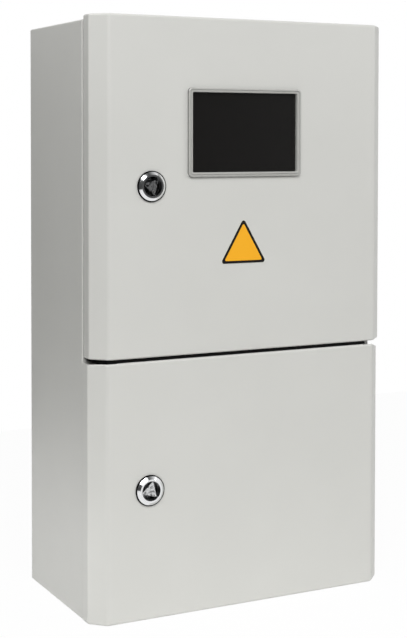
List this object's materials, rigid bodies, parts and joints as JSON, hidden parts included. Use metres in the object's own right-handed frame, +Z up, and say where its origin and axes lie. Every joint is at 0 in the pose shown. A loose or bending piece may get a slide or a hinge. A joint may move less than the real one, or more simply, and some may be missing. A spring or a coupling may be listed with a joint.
{
  "type": "electric meter box",
  "caption": "Upright wall-mounted steel box with stacked hinged doors, a clear viewing window, quarter-turn locks, and a mounting plate and device rail inside.",
  "frame": {"origin": "middle of the base, at the height of the floor the box stands on and halfway between the lock bezels and the back wall", "axes": "+Z up, +X to the right of someone facing the doors, the doors face -Y and the back wall faces +Y"},
  "size_m": [0.3066, 0.1636, 0.54],
  "materials": {
    "body_paint": "fine textured powder coat",
    "door_paint": "fine textured powder coat",
    "cover_paint": "fine textured powder coat",
    "zinc_plate": "bright zinc plating",
    "lock_chrome": "polished",
    "bar_brass": "satin",
    "holder_blue": "moulded",
    "holder_grey": "moulded",
    "foam": "closed-cell foam",
    "plug_rubber": "matte",
    "window_clear": "clear polycarbonate",
    "retainer_plastic": "moulded",
    "sticker_film": "vinyl film"
  },
  "bodies": {
    "enclosure": {"bottom_plugs": "plug_rubber", "crossbar": "body_paint", "device_rail": "zinc_plate", "device_rail_brackets": "zinc_plate", "device_rail_screws": "zinc_plate", "door_divider": "plug_rubber", "earth_bar": "bar_brass", "earth_bar_holders": "holder_grey", "earth_bar_screws": "zinc_plate", "earth_nuts": "zinc_plate", "earth_studs": "zinc_plate", "enclosure_shell": "body_paint", "front_flange": "body_paint", "inner_cover": "cover_paint", "inner_cover_nuts": "zinc_plate", "inner_cover_posts": "zinc_plate", "lower_hinge_leaves": "body_paint", "lower_hinge_pins": "zinc_plate", "lower_rim": "body_paint", "meter_plate": "zinc_plate", "meter_plate_screws": "zinc_plate", "meter_plate_standoffs": "zinc_plate", "neutral_bar": "bar_brass", "neutral_bar_holders": "holder_blue", "neutral_bar_screws": "zinc_plate", "partition": "body_paint", "partition_trim": "plug_rubber", "top_plugs": "plug_rubber", "upper_hinge_leaves": "body_paint", "upper_hinge_pins": "zinc_plate", "upper_rim": "body_paint"},
    "upper_door": {"upper_door_panel": "door_paint", "upper_door_gasket": "foam", "upper_door_stud": "zinc_plate", "upper_hinge_arms": "door_paint", "window_lens": "window_clear", "window_retainer": "retainer_plastic", "triangle_sticker": "sticker_film", "upper_lock_housing": "lock_chrome", "upper_lock_seal": "plug_rubber", "upper_lock_nut": "zinc_plate"},
    "upper_cam": {"upper_lock_insert": "lock_chrome", "upper_lock_cam": "zinc_plate", "upper_cam_screw": "zinc_plate"},
    "lower_door": {"lower_door_panel": "door_paint", "lower_door_gasket": "foam", "lower_door_stud": "zinc_plate", "lower_hinge_arms": "door_paint", "lower_lock_housing": "lock_chrome", "lower_lock_seal": "plug_rubber", "lower_lock_nut": "zinc_plate"},
    "lower_cam": {"lower_lock_insert": "lock_chrome", "lower_lock_cam": "zinc_plate", "lower_cam_screw": "zinc_plate"}
  },
  "joints": [
    {"name": "upper_door_hinge", "type": "hinge", "parent": "enclosure", "child": "upper_door", "pos_m": [0.1468, -0.0612, 0.38839], "axis": [0, 0, 1], "range_deg": [0, 105]},
    {"name": "lower_door_hinge", "type": "hinge", "parent": "enclosure", "child": "lower_door", "pos_m": [0.1452, -0.0612, 0.11706], "axis": [0, 0, 1], "range_deg": [0, 105]},
    {"name": "upper_lock_turn", "type": "hinge", "parent": "upper_door", "child": "upper_cam", "pos_m": [-0.0972, -0.0782, 0.38839], "axis": [0, 1, 0], "range_deg": [0, 90]},
    {"name": "lower_lock_turn", "type": "hinge", "parent": "lower_door", "child": "lower_cam", "pos_m": [-0.0988, -0.0782, 0.11706], "axis": [0, 1, 0], "range_deg": [0, 90]}
  ]
}
